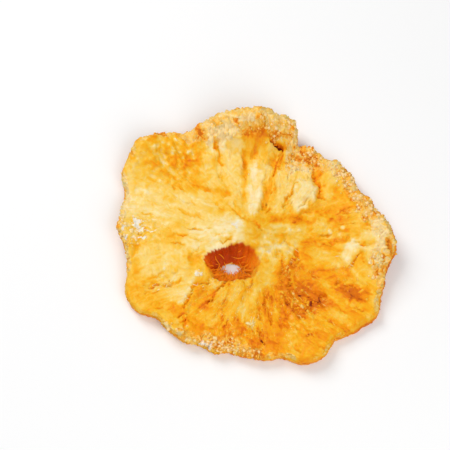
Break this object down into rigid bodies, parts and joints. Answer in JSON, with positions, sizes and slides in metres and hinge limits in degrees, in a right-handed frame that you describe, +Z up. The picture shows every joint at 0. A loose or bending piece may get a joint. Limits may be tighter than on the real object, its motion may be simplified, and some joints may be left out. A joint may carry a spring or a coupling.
{
  "type": "dried pineapple ring",
  "caption": "Thin buckled slice of dried pineapple with a curled rim, puckered flesh and an off-centre cored hole.",
  "frame": {"origin": "on the table under the middle of the slice's bounding box", "axes": "+Z up out of the slice's upper face, -Y towards the lower edge that lies flat, +Y towards the highest curl of the rim"},
  "size_m": [0.0798, 0.077, 0.0135],
  "materials": {
    "flesh": "dried fruit flesh, amber and yellow, slightly glossy and translucent, with a pale crumbly rim"
  },
  "bodies": {
    "root": {"pineapple_ring": "flesh"}
  },
  "joints": []
}
